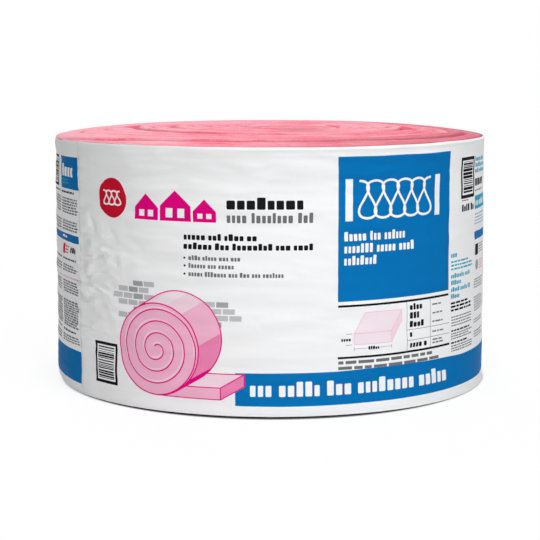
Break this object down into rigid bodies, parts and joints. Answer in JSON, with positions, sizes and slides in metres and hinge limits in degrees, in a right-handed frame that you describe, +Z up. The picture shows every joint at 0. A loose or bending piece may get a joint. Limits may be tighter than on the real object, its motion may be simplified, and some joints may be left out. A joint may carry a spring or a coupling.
{
  "type": "insulation roll",
  "caption": "Roll of unfaced glass-wool insulation in a printed polyethylene sleeve, standing on its end, with its spiral turns bare at both ends.",
  "frame": {"origin": "on the roll's axis, at the plane of its lower end", "axes": "+Z up along the roll's axis; -Y towards the front of the print"},
  "size_m": [0.6672, 0.6671, 0.3865],
  "materials": {
    "wool": "pink glass wool, soft and matt, with loose fibres on the cut edges",
    "film": "white polyethylene film, soft sheen, lightly wrinkled, printed in blue, black, grey and magenta"
  },
  "bodies": {
    "root": {"wool_roll": "wool", "film_sleeve": "film"}
  },
  "joints": []
}
